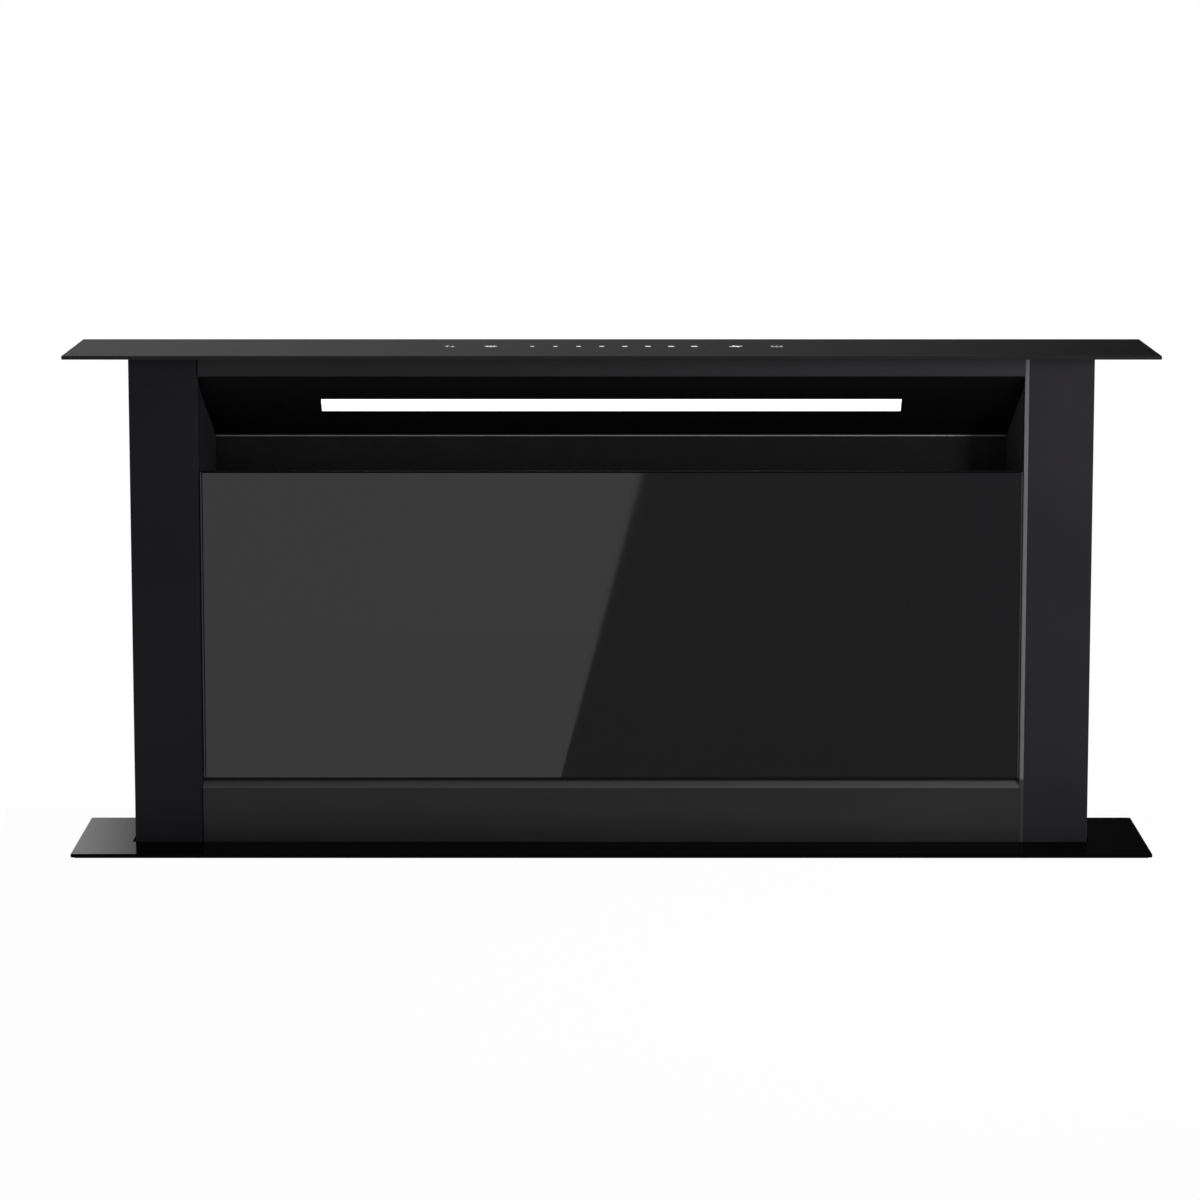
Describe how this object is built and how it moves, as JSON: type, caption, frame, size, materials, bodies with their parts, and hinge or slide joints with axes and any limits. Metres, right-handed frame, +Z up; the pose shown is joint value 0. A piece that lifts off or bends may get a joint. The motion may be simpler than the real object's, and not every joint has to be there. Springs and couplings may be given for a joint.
{
  "type": "retractable downdraft vent",
  "caption": "Wide black column with a flat touch top rises from a worktop; air enters a lit slot over a glass front panel and a blower below draws it down to a duct.",
  "frame": {"origin": "centre of the worktop cut-out, in the plane of the worktop's upper face", "axes": "+X across the worktop to the right as the cook sees it, -Y towards the cook, +Z up; stored with the column raised"},
  "size_m": [0.91, 0.2645, 1.065],
  "materials": {
    "plate_glass": "black back-printed glass, fine satin",
    "panel_glass": "black back-printed glass, polished",
    "flange_black": "black, semi-gloss",
    "frame_grey": "anthracite, fine satin",
    "back_grey": "anthracite, satin",
    "duct_black": "black, matt",
    "light_opal": "opal white",
    "board_green": "circuit board, satin",
    "filter_aluminium": "brushed",
    "panel_frame": "black, matt",
    "casing_zinc": "galvanised sheet",
    "bright_steel": "bright zinc plated",
    "screw_steel": "rolled thread, oiled",
    "nut_brass": "turned",
    "bearing_black": "glass-filled plastic",
    "roller_white": "natural acetal",
    "seal_rubber": "matt",
    "motor_black": "black, satin",
    "motor_alloy": "die cast",
    "scroll_grey": "moulded, fine grain",
    "wheel_grey": "moulded, satin",
    "duct_plastic": "moulded, satin",
    "flap_plastic": "moulded, satin",
    "box_plastic": "moulded, fine grain"
  },
  "bodies": {
    "chassis": {"worktop_flange": "flange_black", "flange_gasket": "seal_rubber", "wiper_seal": "seal_rubber", "chassis_front": "casing_zinc", "chassis_back": "casing_zinc", "chassis_side_left": "casing_zinc", "chassis_side_right": "casing_zinc", "chassis_floor": "casing_zinc", "guide_rail_left": "bright_steel", "guide_rail_right": "bright_steel", "screw_bearings": "bearing_black", "lift_gearmotor": "motor_black", "scroll_housing": "scroll_grey", "inlet_ring": "casing_zinc", "scroll_cover": "scroll_grey", "fan_motor": "motor_alloy", "outlet_adaptor": "duct_plastic", "duct_spigot": "duct_plastic", "damper_pin": "bright_steel", "control_box": "box_plastic", "control_box_lid": "box_plastic", "cable_gland": "bearing_black", "clamp_bracket_left": "bright_steel", "clamp_bracket_right": "bright_steel", "clamp_screws": "bright_steel", "foot_bracket_left": "bright_steel", "foot_bracket_right": "bright_steel", "fixing_screws": "bright_steel"},
    "column": {"top_plate": "plate_glass", "plate_carrier": "panel_frame", "touch_board": "board_green", "plate_bumpers": "seal_rubber", "post_left": "frame_grey", "post_right": "frame_grey", "top_rail": "frame_grey", "bottom_rail": "frame_grey", "column_back": "back_grey", "duct_cheek_left": "duct_black", "duct_cheek_right": "duct_black", "air_deflector": "duct_black", "light_lens": "light_opal", "light_board": "board_green", "grease_filter_left": "filter_aluminium", "grease_filter_right": "filter_aluminium", "panel_catches": "motor_black", "lift_crossbar": "bright_steel", "nut_bracket": "bright_steel", "lift_nut": "nut_brass", "roller_pins": "bright_steel"},
    "front_panel": {"front_glass": "panel_glass", "panel_carrier": "panel_frame"},
    "screw": {"lead_screw": "screw_steel"},
    "roller_left_high": {"guide_roller_left_high": "roller_white"},
    "roller_left_low": {"guide_roller_left_low": "roller_white"},
    "roller_right_high": {"guide_roller_right_high": "roller_white"},
    "roller_right_low": {"guide_roller_right_low": "roller_white"},
    "fan": {"fan_wheel": "wheel_grey", "fan_shaft": "screw_steel"},
    "flap_front": {"damper_flap_front": "flap_plastic"},
    "flap_rear": {"damper_flap_rear": "flap_plastic"}
  },
  "joints": [
    {"name": "lift", "type": "slide", "parent": "chassis", "child": "column", "axis": [0, 0, 1], "range_m": [-0.4, 0]},
    {"name": "panel_tilt", "type": "hinge", "parent": "column", "child": "front_panel", "pos_m": [0, -0.0182, 0.0595], "axis": [1, 0, 0], "range_deg": [0, 75]},
    {"name": "screw_turn", "type": "hinge", "parent": "chassis", "child": "screw", "pos_m": [0, -0.041, -0.2], "axis": [0, 0, 1], "range_deg": [-18001, 18001]},
    {"name": "roller_left_high_turn", "type": "hinge", "parent": "column", "child": "roller_left_high", "pos_m": [-0.405, 0.016, -0.038], "axis": [1, 0, 0], "range_deg": [-2085, 2085]},
    {"name": "roller_left_low_turn", "type": "hinge", "parent": "column", "child": "roller_left_low", "pos_m": [-0.405, 0.016, -0.092], "axis": [1, 0, 0], "range_deg": [-2085, 2085]},
    {"name": "roller_right_high_turn", "type": "hinge", "parent": "column", "child": "roller_right_high", "pos_m": [0.405, 0.016, -0.038], "axis": [1, 0, 0], "range_deg": [-2085, 2085]},
    {"name": "roller_right_low_turn", "type": "hinge", "parent": "column", "child": "roller_right_low", "pos_m": [0.405, 0.016, -0.092], "axis": [1, 0, 0], "range_deg": [-2085, 2085]},
    {"name": "wheel_spin", "type": "hinge", "parent": "chassis", "child": "fan", "pos_m": [0.11, -0.1075, -0.33], "axis": [0, -1, 0], "continuous": true},
    {"name": "flap_front_swing", "type": "hinge", "parent": "chassis", "child": "flap_front", "pos_m": [0.22318, -0.1075, -0.61], "axis": [1, 0, 0], "range_deg": [0, 75], "stiffness_Nm_per_rad": 0.004, "springref_deg": -68.75},
    {"name": "flap_rear_swing", "type": "hinge", "parent": "chassis", "child": "flap_rear", "pos_m": [0.22318, -0.1075, -0.61], "axis": [-1, 0, 0], "range_deg": [0, 75], "stiffness_Nm_per_rad": 0.004, "springref_deg": -68.75}
  ],
  "couplings": [
    {"joint": "screw_turn", "follows": "lift", "rad_per_m": 785.4},
    {"joint": "roller_left_high_turn", "follows": "lift", "rad_per_m": -90.909},
    {"joint": "roller_left_low_turn", "follows": "lift", "rad_per_m": -90.909},
    {"joint": "roller_right_high_turn", "follows": "lift", "rad_per_m": -90.909},
    {"joint": "roller_right_low_turn", "follows": "lift", "rad_per_m": -90.909}
  ]
}
